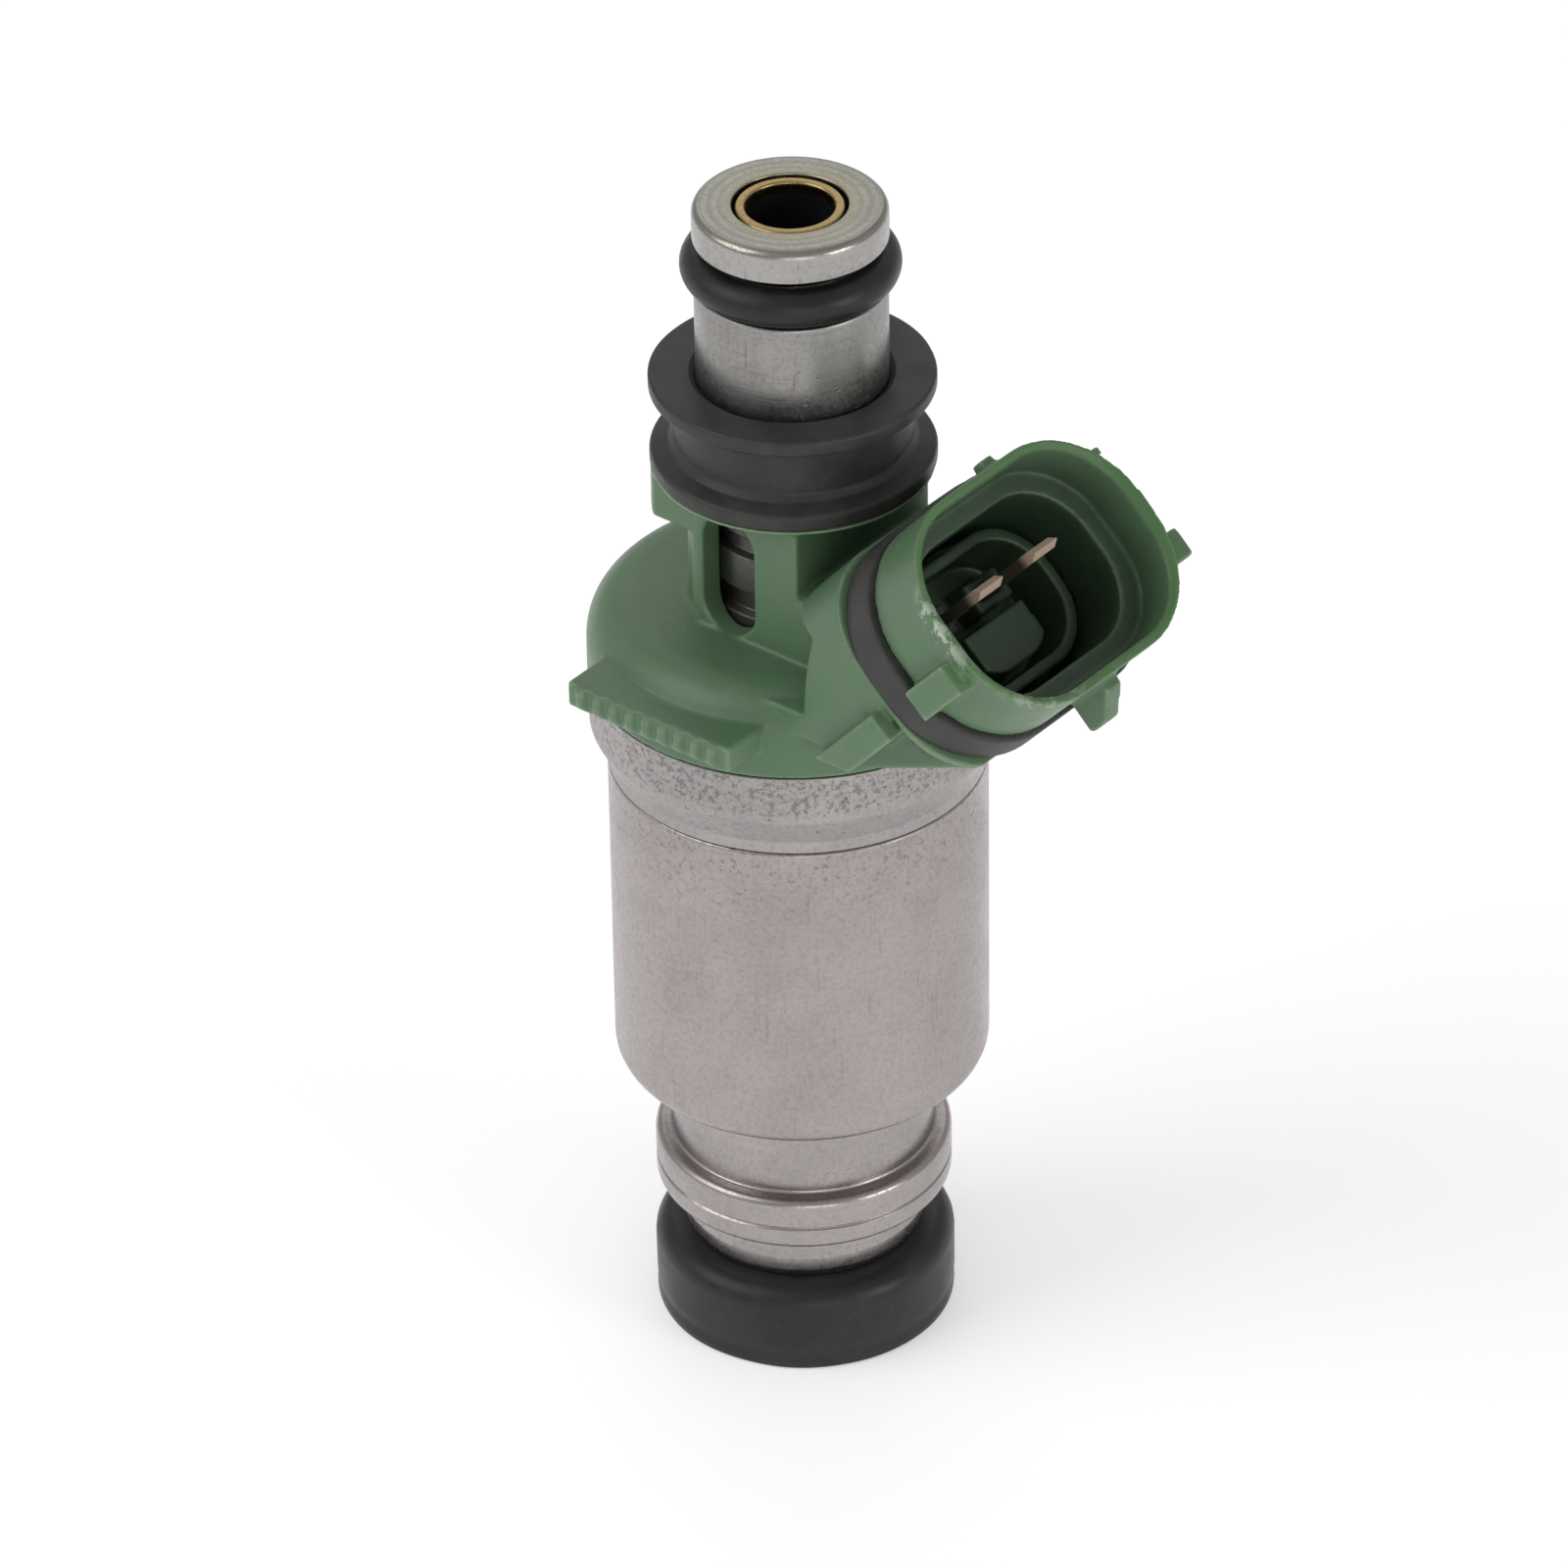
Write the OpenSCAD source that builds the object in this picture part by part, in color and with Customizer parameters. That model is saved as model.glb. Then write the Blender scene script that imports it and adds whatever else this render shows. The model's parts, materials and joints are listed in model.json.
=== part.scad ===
// Top-feed fuel injector, an assembly of separate pieces.
// Millimetres. Origin: centre of the spray outlet in the bottom face. +Z is up the
// injector axis, towards the fuel rail. +X is the side that the electrical socket is on.

/* [Body] */
// Overall height, from the bottom seal to the inlet face
height = 73; // [72:0.5:76]
// Radius of the steel housing
housing_r = 10.75; // [10.5:0.05:11]
// Radius of the crimped yoke collar and of the moulding above it
collar_r = 11.72; // [11.6:0.02:12]
// Height of the joint between the housing and the yoke collar
joint_z = 37.5; // [37.4:0.05:37.6]
// Lowest height of the full housing radius
shoulder_z = 20.1; // [20:0.1:20.3]

/* [Inlet] */
// Radius of the spigot that enters the fuel rail
spigot_r = 5.4; // [5.3:0.05:5.5]
// Height of the cap above the o-ring groove
cap_h = 2; // [1.8:0.1:2.2]
// Radius of the bottom of the o-ring groove
groove_r = 3.8; // [3.7:0.05:3.9]
// Thickness of the rail o-ring
rail_ring_d = 2.28; // [2.1:0.02:2.3]
// Radius of the inlet hole in the filter
inlet_r = 2.45; // [2.35:0.05:2.5]

/* [Socket] */
// Angle of the socket axis from vertical
socket_tilt = 42; // [40:1:45]
// Place of the centre of the socket mouth along X
socket_x = 17.7; // [17.4:0.1:18]
// Height of the centre of the socket mouth
socket_z = 56.2; // [56:0.1:56.5]
// Half width of the socket mouth across the injector
mouth_a = 8.1; // [7.8:0.1:8.3]
// Half height of the socket mouth
mouth_b = 5.95; // [5.8:0.05:6]
// Spacing of the two terminals
pin_pitch = 4.86; // [4.6:0.02:5]

/* [Valve] */
// Distance that the needle lifts
lift = 0.1; // [0.06:0.01:0.12]
// Radius of the armature
armature_r = 3.94; // [3.9:0.01:3.96]
// Radius of the needle's guide lands
land_r = 1.78; // [1.76:0.01:1.79]

/* [Seals] */
// Radius of the rubber seal that sits in the manifold
seal_r = 8.68; // [8.5:0.02:8.8]
// Height of the manifold seal
seal_h = 5.3; // [5.2:0.05:5.4]
// Radius of the grommet's flanges
grommet_r = 7.95; // [7.8:0.05:8]

/* [Hidden] */
$fn = 96;
e = 0.01;                    // overlap used where one solid is built from two
gap = 0.02;                  // room between pieces that touch

// heights on the axis
cap_z = height - cap_h;
groove_z = cap_z - 2.85;                 // bottom of the o-ring groove
grommet_top = height - 10.45;
grommet_bot = height - 16.15;
ledge_z = 53.9;                          // underside of the moulded ledge
crown_z = 48.18;                         // flat top of the moulded dome
dome_z = 43.2;                           // moulding meets the steel collar
plate_z = 39.6;                          // top of the yoke plate
core_end = 27;                           // lower face of the fixed core
sleeve_z = 20.02;                        // lower end of the sleeve
sleeve_top = 31;
spacer_z = 15.6;
spacer_h = 1.2;
holder_top = 20;
tip_z = 3.2;                             // bottom of the valve body

// radii inside
core_r = 4.7;                            // fixed core above the sleeve
pole_r = 4.0;                            // fixed core inside the sleeve
sleeve_r = 4.75;
bore_r = 1.9;                            // fuel passage in the core
strainer_r = 3.2;                        // wide part of the inlet bore
neck_r = 5.34;
chamber_r = 9.7;                         // coil chamber
holder_r = 6.3;                          // end of the holder inside the housing
visible_r = 7.57;                        // holder below the housing

// ---------- shared shapes ----------

// ring with a rectangular section
module ring(r_out, r_in, z0, z1) {
    translate([0, 0, z0])
        difference() {
            cylinder(r = r_out, h = z1 - z0);
            translate([0, 0, -1])
                cylinder(r = r_in, h = z1 - z0 + 2);
        }
}

// o-ring of round section, centred on height z
module o_ring(r_mid, d, z) {
    translate([0, 0, z])
        rotate_extrude()
            translate([r_mid, 0])
                circle(d = d, $fn = 48);
}

// rounded rectangle: half width a along Y, half height b along X, corner radius r
module oval(a, b, r) {
    square([2 * b, 2 * (a - r)], center = true);
    square([2 * (b - r), 2 * a], center = true);
    for (sx = [-1, 1], sy = [-1, 1])
        translate([sx * (b - r), sy * (a - r)])
            circle(r = r);
}

// socket frame: +Z out of the mouth, +X towards the underside of the socket
module at_socket() {
    translate([socket_x, 0, socket_z])
        rotate([0, socket_tilt, 0])
            children();
}

// oval prism in the socket frame, from depth d0 down to depth d1 below the mouth
module oval_prism(a, b, r, d0, d1) {
    translate([0, 0, -d1])
        linear_extrude(height = d1 - d0)
            oval(a, b, r);
}

// the same shape on both sides of the plane Y = 0
module both_sides() {
    children();
    mirror([0, 1, 0])
        children();
}

// box from its lowest corner to its highest corner
module box(lo, hi) {
    translate(lo)
        cube(hi - lo);
}

// shape drawn in X and Z, extruded to both sides of Y = 0
module side_prism(points, half) {
    translate([0, half, 0])
        rotate([90, 0, 0])
            linear_extrude(height = 2 * half)
                polygon(points);
}

// ---------- fuel inlet ----------

// Fixed core: rail spigot, neck, magnetic pole and fuel passage in one turned piece
module inlet_core() {
    chamfer = 0.3;
    color("#a8a29e")
        rotate_extrude()
            polygon([
                [strainer_r, height], [spigot_r - chamfer + 0.05, height],
                [spigot_r, height - chamfer], [spigot_r, cap_z], [groove_r, cap_z],
                [groove_r, groove_z], [neck_r - 0.15, groove_z], [neck_r, groove_z - 0.15],
                [neck_r, 57], [core_r, 56.4], [core_r, 54.1], [core_r - 0.45, 53.8],
                [core_r - 0.45, 52.9], [core_r, 52.6], [core_r, 50.6], [core_r - 0.5, 50.2],
                [core_r - 0.5, 49.2], [core_r, 48.8], [core_r, sleeve_top + gap],
                [pole_r, sleeve_top + gap], [pole_r, core_end + 0.2],
                [pole_r - 0.2, core_end], [bore_r, core_end], [bore_r, 55.4],
                [strainer_r, 56]]);
}

liner_r = 2.75;                          // brass ring's inside, below its lip
liner_top = height - 0.8;
filter_seat = 69.5;

// Brass ring pressed into the inlet, whose lip holds the filter
module filter_collar() {
    outer = strainer_r - gap;
    rim = outer - 0.16;
    top = height - 0.1;
    color("#c09a5a")
        rotate_extrude()
            polygon([[inlet_r, liner_top], [liner_r, liner_top], [liner_r, filter_seat + gap],
                     [outer, filter_seat + gap], [outer, height - 1.4], [rim, height - 1.3],
                     [rim, top - 0.2], [rim - 0.15, top], [inlet_r + 0.15, top],
                     [inlet_r, top - 0.15]]);
}

// Plastic filter frame: inlet tube, shoulder, three ribs and a closed end
module filter_basket() {
    shoulder_lo = 67.6;
    color("#26282a") {
        ring(liner_r - gap, inlet_r, filter_seat - e, liner_top - gap);
        ring(strainer_r - 0.06, 2.2, shoulder_lo, filter_seat);
        for (a = [0, 120, 240])
            rotate([0, 0, a])
                box([2.32, -0.35, 58], [2.85, 0.35, shoulder_lo + e]);
        translate([0, 0, 57.2])
            cylinder(r = 2.85, h = 0.8 + e);
    }
}

// Woven strainer sleeve inside the ribs
module filter_mesh() {
    color("#7c7f80")
        ring(2.3, 2.16, 58.02, 67.58);
}

module rail_o_ring() {
    color("#1f2022")
        o_ring(groove_r + rail_ring_d / 2 + gap / 2, rail_ring_d, (cap_z + groove_z) / 2 - 0.2);
}

// Rubber grommet with two flanges and a waist
module rail_grommet() {
    inner = neck_r + gap;
    waist = 6.75;
    g = grommet_r;
    t = grommet_top;
    b = grommet_bot;
    color("#38393a")
        rotate_extrude()
            polygon([[inner, b], [g - 0.15, b], [g, b + 0.2], [g - 0.05, b + 0.9],
                     [g - 0.35, b + 1.15], [waist + 0.1, b + 1.35], [waist - 0.1, b + 1.7],
                     [waist - 0.05, t - 1.3], [g - 0.35, t - 1.05], [g, t - 0.8],
                     [g, t - 0.2], [g - 0.15, t], [inner + 0.1, t - 0.15],
                     [inner, t - 0.3]]);
}

// Tube pressed into the core, which sets the spring's preload
module adjusting_tube() {
    color("#b08d55")
        ring(bore_r - gap, 1.1, 34, 44);
}

// ---------- magnet ----------

spring_lo = 25.45;
spring_hi = 33.95;
spring_wire = 0.45;
spring_mid = 1.42;
spring_turns = 7;
spring_steps = 18;      // sections in one turn
spring_sides = 8;       // points round the wire

// height of the wire's centre after t turns, with a closed turn at each end
function spring_height(t) =
    let (room = spring_hi - spring_lo - spring_wire,
         closed = spring_wire * 1.06,
         pitch = (room - 2 * closed) / (spring_turns - 2))
    spring_lo + spring_wire / 2
    + (t < 1 ? closed * t
       : t > spring_turns - 1 ? room - closed * (spring_turns - t)
       : closed + pitch * (t - 1));

// Closed and open coils of the needle's return spring
module return_spring() {
    n = spring_turns * spring_steps;
    m = spring_sides;
    points = [for (i = [0:n], j = [0:m - 1])
        let (a = 360 * i / spring_steps, b = 360 * j / m,
             r = spring_mid + spring_wire / 2 * cos(b))
        [r * cos(a), r * sin(a), spring_height(i / spring_steps) + spring_wire / 2 * sin(b)]];
    sides = [for (i = [0:n - 1], j = [0:m - 1])
        [i * m + j, i * m + (j + 1) % m, (i + 1) * m + (j + 1) % m, (i + 1) * m + j]];
    ends = [[for (j = [m - 1:-1:0]) j], [for (j = [0:m - 1]) n * m + j]];
    color("#9a9a98")
        polyhedron(points = points, faces = concat(sides, ends), convexity = 6);
}

bobbin_lo = 21.62;
bobbin_hi = 37.4;
bobbin_r = 9.5;
bobbin_wall = 5.45;
flange_h = 1.4;

// Plastic spool that the coil is wound on
module coil_bobbin() {
    seat_r = 5.66;
    color("#5a5347")
        difference() {
            rotate_extrude()
                polygon([[sleeve_r + 0.05, bobbin_lo], [bobbin_r, bobbin_lo],
                         [bobbin_r, bobbin_lo + flange_h], [bobbin_wall, bobbin_lo + flange_h],
                         [bobbin_wall, bobbin_hi - flange_h], [bobbin_r, bobbin_hi - flange_h],
                         [bobbin_r, bobbin_hi], [sleeve_r + 0.05, bobbin_hi]]);
            translate([0, 0, bobbin_hi - 0.95])
                cylinder(r = seat_r, h = 2);
            translate([0, 0, bobbin_lo - 1])
                cylinder(r = seat_r, h = 1.95);
        }
}

// Enamelled copper winding, taken as one solid
module coil_winding() {
    color("#b3622f")
        ring(9.2, bobbin_wall + gap, bobbin_lo + flange_h + gap, bobbin_hi - flange_h - gap);
}

module bobbin_upper_o_ring() {
    color("#1f2022")
        o_ring(5.18, 0.9, bobbin_hi - 0.48);
}

module bobbin_lower_o_ring() {
    color("#1f2022")
        o_ring(5.205, 0.86, bobbin_lo + 0.46);
}

// Steel collar crimped round the moulding, with the plate that closes the magnetic circuit
module yoke_collar() {
    cone_top = 40.4;
    cone_bot = 38.3;
    lip = 10.15;
    color("#98928f")
        difference() {
            rotate_extrude()
                polygon([[core_r + gap, joint_z + gap], [housing_r - 0.18, joint_z + gap],
                         [housing_r, joint_z + 0.2], [housing_r, cone_bot],
                         [collar_r - 0.12, cone_top - 0.3], [collar_r, cone_top + 0.1],
                         [collar_r, dome_z - 0.15], [collar_r - 0.12, dome_z - gap],
                         [lip, dome_z - gap], [lip, plate_z], [core_r + gap, plate_z]]);
            for (s = [-1, 1])
                box([leg_x - 1.1, s * pin_pitch / 2 - 1.5, joint_z - 1],
                    [leg_x + 1.1, s * pin_pitch / 2 + 1.5, plate_z + 1]);
        }
}

// Steel cup round the coil, with a rounded shoulder at its lower end
module main_housing() {
    fillet = 2.9;
    low = 16.62;
    foot_r = 7.85;
    color("#a39c99")
        rotate_extrude()
            difference() {
                union() {
                    translate([0, shoulder_z])
                        square([housing_r, joint_z - 0.2 - shoulder_z]);
                    translate([0, joint_z - 0.2 - e])
                        polygon([[0, 0], [housing_r, 0], [housing_r - 0.18, 0.2], [0, 0.2]]);
                    intersection() {
                        translate([housing_r - fillet, shoulder_z])
                            circle(r = fillet);
                        translate([0, low])
                            square([housing_r, 10]);
                    }
                    translate([0, low])
                        polygon([[0, 0], [foot_r - 0.15, 0], [foot_r, 0.15], [foot_r, 1],
                                 [housing_r - 1.5, shoulder_z - low], [0, shoulder_z - low + e]]);
                }
                // coil chamber
                translate([-1, 21.6])
                    square([chamber_r + 1, 20]);
                // pole ring round the sleeve
                translate([-1, holder_top])
                    square([sleeve_r + gap + 1, 3]);
                // seat of the nozzle holder
                translate([-1, 10])
                    square([holder_r + gap + 1, holder_top - 10 + gap]);
            }
}

// Stainless tube that joins the core to the lower pole without closing the magnet
module non_magnetic_sleeve() {
    color("#c2c2c0")
        ring(sleeve_r, armature_r + 0.08, sleeve_z, sleeve_top);
}

// ---------- moving valve ----------

needle_top = 22.5;

// Magnetic plunger that the coil pulls up
module armature() {
    lo = 19.4;
    hi = core_end - lift - 0.05;
    color("#8f8f92")
        difference() {
            rotate_extrude()
                polygon([[1.3, lo], [armature_r - 0.3, lo], [armature_r, lo + 0.3],
                         [armature_r, hi - 0.2], [armature_r - 0.2, hi], [1.82, hi],
                         [1.82, spring_lo - 0.02], [1.0, spring_lo - 0.02],
                         [1.0, needle_top], [1.3, needle_top - e]]);
            for (a = [0:90:270])
                rotate([0, 0, a])
                    translate([2.6, 0, lo - 1])
                        cylinder(r = 0.45, h = hi - lo + 2, $fn = 24);
        }
}

// Needle with its lift stop, two guide lands and sealing cone
module valve_needle() {
    stop_top = spacer_z - lift;
    stem = 1.28;
    color("#c8c8c6")
        rotate_extrude()
            polygon([[0, needle_top - 0.05], [stem, needle_top - 0.05], [stem, 16.8],
                     [1.15, 16.6], [1.15, stop_top], [2.6, stop_top], [2.6, 14.6],
                     [stem, 14.6], [stem, 13.6], [land_r, 13.4], [land_r, 12], [1.4, 11.8],
                     [1.4, 8.2], [land_r, 8], [land_r, 6.2], [1.4, 6], [1.4, 5.2],
                     [0, 3.8]]);
}

// C-shaped stop washer above the needle's collar
module stop_spacer() {
    color("#aeb0b2")
        difference() {
            ring(5.15, 1.4, spacer_z, spacer_z + spacer_h);
            box([0, -1.4, spacer_z - 1], [7, 1.4, spacer_z + spacer_h + 1]);
        }
}

// ---------- nozzle ----------

// Steel holder: end in the housing, flange bead, seal nose
module nozzle_holder() {
    bead = 8.56;
    bead_lo = 8.5;
    bead_hi = 11.95;
    nose = 5.95;
    color("#9b9592")
        rotate_extrude()
            difference() {
                union() {
                    // end inside the housing, with the o-ring groove
                    polygon([[0, 16.6], [holder_r, 16.6], [holder_r, 17.5], [5.55, 17.5],
                             [5.55, 18.5], [holder_r, 18.5], [holder_r, 19.8],
                             [holder_r - 0.2, holder_top], [0, holder_top]]);
                    // visible neck with two fine turned lines
                    polygon([[0, bead_hi - 0.4], [visible_r, bead_hi - 0.4], [visible_r, 15.7],
                             [visible_r - 0.07, 15.78], [visible_r, 15.86],
                             [visible_r, 16.45], [visible_r - 0.1, 16.6], [0, 16.6]]);
                    // bead, with a groove round its upper half
                    difference() {
                        union() {
                            translate([bead - 1.2, bead_hi - 1.3])
                                circle(r = 1.2);
                            translate([bead - 0.95, bead_lo + 0.95])
                                circle(r = 0.95);
                            translate([0, bead_lo + 0.95])
                                square([bead, bead_hi - bead_lo - 2.25]);
                            translate([0, bead_lo])
                                square([bead - 0.95, bead_hi - bead_lo - 0.4]);
                        }
                        translate([bead + 0.02, bead_hi - 1.95])
                            circle(r = 0.13, $fn = 24);
                    }
                    // lower ring that narrows onto the seal
                    polygon([[0, 5.32], [6.7, 5.32], [7.0, 5.9], [7.12, 6.8], [7.12, 8.3],
                             [7.3, bead_lo + e], [0, bead_lo + e]]);
                    // nose inside the seal
                    polygon([[0, 2.1], [nose - 0.25, 2.1], [nose, 2.4], [nose, 5.4], [0, 5.4]]);
                }
                // seat of the valve body
                translate([-1, 0])
                    square([5.25 + 1, spacer_z + spacer_h + gap]);
                // passage below the armature
                translate([-1, 10])
                    square([1 + armature_r + 0.12, 12]);
            }
}

module holder_o_ring() {
    color("#1f2022")
        o_ring(5.915, 0.7, 18);
}

// Valve body: needle guide, seat cone and outlet
module valve_body() {
    outer = 5.2;
    color("#bdbdbb")
        difference() {
            rotate_extrude()
                polygon([[land_r + 0.02, spacer_z - 1.6], [land_r + 0.02, 5.55], [0.45, 4.22],
                         [0.45, tip_z], [4.2, tip_z], [4.2, 4.2], [outer, 4.6],
                         [outer, spacer_z - gap], [2.9, spacer_z - gap],
                         [2.9, spacer_z - 1.6]]);
            // flats that let fuel past the upper guide land
            for (a = [0:90:270])
                rotate([0, 0, a])
                    translate([2.2, 0, 9])
                        cylinder(r = 0.5, h = 8, $fn = 24);
            // cross holes from those flats to the needle
            for (a = [0:90:270])
                rotate([0, 90, a])
                    translate([-10, 0, 0])
                        cylinder(r = 0.5, h = 2.4, $fn = 24);
        }
}

// Thin plate with the metering holes
module orifice_plate() {
    color("#d0d0ce")
        difference() {
            translate([0, 0, tip_z - 0.27])
                cylinder(r = 3.6, h = 0.25);
            for (a = [45:90:315])
                rotate([0, 0, a])
                    translate([0.3, 0, tip_z - 1])
                        cylinder(r = 0.1, h = 2, $fn = 24);
        }
}

// Plastic cap that keeps the seal on and shields the outlet
module tip_cap() {
    outlet_r = 2.4;
    color("#2b2c2e")
        rotate_extrude()
            polygon([[outlet_r, 0], [6.1, 0], [6.4, 0.3], [6.4, 2.08], [5.2, 2.08],
                     [5.2, 1.6], [4.2, 1.4], [4.2, 1.2], [outlet_r, 1.2]]);
}

// Rubber seal on the nose, which sits in the manifold
module manifold_seal() {
    corner = 1.5;
    top = seal_h;
    color("#333436")
        rotate_extrude()
            difference() {
                union() {
                    polygon([[0, 0], [seal_r - 0.35, 0], [seal_r - 0.1, 0.2], [seal_r, 0.5],
                             [seal_r, top - corner], [0, top - corner]]);
                    translate([seal_r - corner, top - corner])
                        circle(r = corner);
                    translate([0, top - corner])
                        square([seal_r - corner, corner]);
                }
                translate([-1, -1])
                    square([5.97 + 1, 10]);
                translate([-1, -1])
                    square([6.45 + 1, 1 + 2.12]);
                translate([-1, top - 0.001])
                    square([20, 2]);
            }
}

// ---------- electrical socket ----------

blade_w = 2.0;
blade_t = 0.64;
blade_off = 1.26;       // blades lie above the middle of the mouth
blade_tip = 1.7;        // depth of the tips below the mouth
leg_x = 7;              // leg that goes down to the bobbin

// point in X and Z, at depth d below the mouth and x towards its underside
function in_socket(d, x) =
    [socket_x + x * cos(socket_tilt) - d * sin(socket_tilt),
     socket_z - x * sin(socket_tilt) - d * cos(socket_tilt)];

// depth where the blade's face at x meets the leg's face at X = edge
function bend_depth(x, edge) = (socket_x + x * cos(socket_tilt) - edge) / sin(socket_tilt);

// one bent terminal: a blade in the socket and a leg, grown by g on every side
module terminal(side, g) {
    t = blade_t / 2 + g;
    under = t - blade_off;
    over = -t - blade_off;
    foot = bobbin_hi + gap - g;
    translate([0, side * pin_pitch / 2, 0])
        side_prism([[leg_x - t, foot], [leg_x + t, foot],
                    in_socket(bend_depth(under, leg_x + t), under),
                    in_socket(blade_tip + 0.6, under), in_socket(blade_tip, under - t),
                    in_socket(blade_tip + 0.6, over),
                    in_socket(bend_depth(over, leg_x - t), over)], blade_w / 2 + g);
}

module terminal_front() {
    color("#d09a70")
        terminal(-1, 0);
}

module terminal_rear() {
    color("#d09a70")
        terminal(1, 0);
}

seal_d0 = 4.35;         // front of the gasket groove, below the mouth
seal_d1 = 6.7;          // back of the gasket groove
root_a = 9.28;          // half width of the socket's root
root_b = 6.95;          // half height of the socket's root
root_lo = 0.4;          // lower edge of the root's side faces, along the socket's X
front_y = 5.95;         // flat front and back of the column
column_x = 4.85;        // flat side of the column under the socket
block_z = 46.13;        // underside of the root's side faces
neck_a = 8.3;           // gasket's seat
neck_b = 5.8;

// Green moulding: ledge, column, dome, label bar and socket
module connector_body() {
    color("#56795a")
        difference() {
            union() {
                moulded_dome();
                moulded_column();
                moulded_root();
                moulded_shroud();
            }
            socket_cavity();
            // core and its neck
            translate([0, 0, 30])
                cylinder(r = core_r + gap, h = 40);
            translate([0, 0, 56.38])
                cylinder(r = neck_r + gap, h = 10);
            for (s = [-1, 1])
                terminal(s, 0.02);
        }
    color("#56795a")
        socket_core();
}

module moulded_dome() {
    dome_r = 11.75;
    shoulder = 2.84;
    rotate_extrude() {
        translate([0, plate_z + gap])
            square([10.1, dome_z - plate_z]);
        translate([0, dome_z])
            square([dome_r, crown_z - shoulder - dome_z]);
        intersection() {
            translate([dome_r - shoulder, crown_z - shoulder])
                circle(r = shoulder);
            translate([0, dome_z])
                square([12, 10]);
        }
        translate([0, crown_z - shoulder - e])
            square([dome_r - shoulder, shoulder + e]);
    }
    label_bar();
    both_sides()
        // block between the dome and the socket's root
        box([3, -root_a, block_z], [9.2, -5, 47.7]);
}

// bar on the front of the dome, with plain ribs
module label_bar() {
    half = 5.7;
    face = -13.2;
    box([-half, face, 45.0], [half, -6, 46.6]);
    for (i = [-4:4])
        box([i * 1.15 - 0.3, face - 0.3, 45.25], [i * 1.15 + 0.3, face + 1, 46.35]);
}

slot_r = 1.8;
slot_lo = 50;
slot_hi = 53.85;

module moulded_column() {
    frame = 2.6;
    plate_h = 0.25;
    ledge_top = grommet_bot - gap;
    difference() {
        union() {
            intersection() {
                translate([0, 0, crown_z - 1])
                    cylinder(r = front_y, h = ledge_z - crown_z + 1 + e);
                box([-9, -9, 40], [column_x, 9, 60]);
            }
            intersection() {
                translate([0, 0, ledge_z])
                    cylinder(r = grommet_r - 0.02, h = ledge_top - ledge_z);
                box([-9, -front_y, 50], [column_x, front_y, 60]);
            }
            translate([0, 0, ledge_top - plate_h])
                cylinder(r = grommet_r - 0.05, h = plate_h);
            both_sides() {
                box([0, -front_y, crown_z - 1], [column_x, -2, ledge_top]);
                intersection() {
                    translate([0, 0, slot_lo])
                        rotate([90, 0, 0])
                            cylinder(r = frame, h = front_y);
                    box([-5, -front_y, 46], [5, 0, slot_lo + e]);
                }
                box([-frame, -front_y, slot_lo], [frame, -2, ledge_z + 1]);
            }
        }
        // windows that show the core
        for (z = [slot_lo, slot_hi])
            translate([0, 10, z])
                rotate([90, 0, 0])
                    cylinder(r = slot_r, h = 20);
        box([-slot_r, -10, slot_lo], [slot_r, 10, slot_hi]);
    }
}

// slab between the dome and the gasket, with the tabs below its side faces
module moulded_root() {
    lower_half = 6.6;
    flange = 0.4;
    pocket_x = 7.85;
    pocket_top = 52.2;
    tab_y = 10.2;
    tab_z = 45.9;
    difference() {
        intersection() {
            at_socket()
                oval_prism(root_a, root_b, 5.2, seal_d1, 25);
            side_prism([[3, 43.4], [9.6, 43.4], [19.2, 47.4], [24, 62], [3, 62]], root_a);
        }
        // the slab is narrow under its side faces
        both_sides() {
            at_socket()
                box([root_lo, -20, -40], [20, -lower_half, -seal_d1 - flange]);
            box([0, -20, 40], [30, -lower_half, block_z]);
        }
        // recesses beside the column
        both_sides() {
            box([0, -20, 40], [column_x, -front_y, 70]);
            box([0, -20, 40], [pocket_x, -front_y, pocket_top]);
        }
    }
    both_sides()
        intersection() {
            at_socket()
                box([0.6, -tab_y, -20], [2.4, -5, -7.35]);
            box([0, -20, tab_z], [30, 0, 60]);
        }
}

module moulded_shroud() {
    at_socket() {
        // rim round the mouth
        oval_prism(mouth_a + 0.88, mouth_b + 0.58, 6, 0, 1.3);
        // barrel
        oval_prism(mouth_a + 0.84, mouth_b + 0.54, 5.9, 1.3 - e, seal_d0);
        // neck in the gasket
        oval_prism(neck_a, neck_b, 5.4, seal_d0 - e, seal_d1 + e);
        // key lugs, lower on one side than on the other
        box([0.75, -9.95, -seal_d0], [2.65, -7, -0.6]);
        box([2, 7, -seal_d0], [3.8, 10.3, -0.9]);
        // latch under the mouth
        rotate([90, 0, 0])
            translate([0, 0, -0.65])
                linear_extrude(height = 1.3)
                    polygon([[6, -1.3], [7.2, -1.3], [8.5, -3], [8.5, -seal_d0],
                             [6, -seal_d0]]);
        // nubs on top of the barrel
        box([-7.05, 1.3, -1.7], [-6, 2.3, -0.7]);
        box([-4.1, 7, -1.4], [-3.6, 9.1, -0.8]);
    }
}

floor_d = 9.6;          // depth of the socket's floor
ridge_d = 6;            // depth of the inner wall's top

module socket_cavity() {
    at_socket() {
        oval_prism(mouth_a + 0.25, mouth_b + 0.2, 5, -1, 0.2);
        oval_prism(mouth_a, mouth_b, 4.9, -1, 3);
        oval_prism(mouth_a - 1.3, mouth_b - 1.2, 4, 2.9, floor_d);
    }
}

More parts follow.
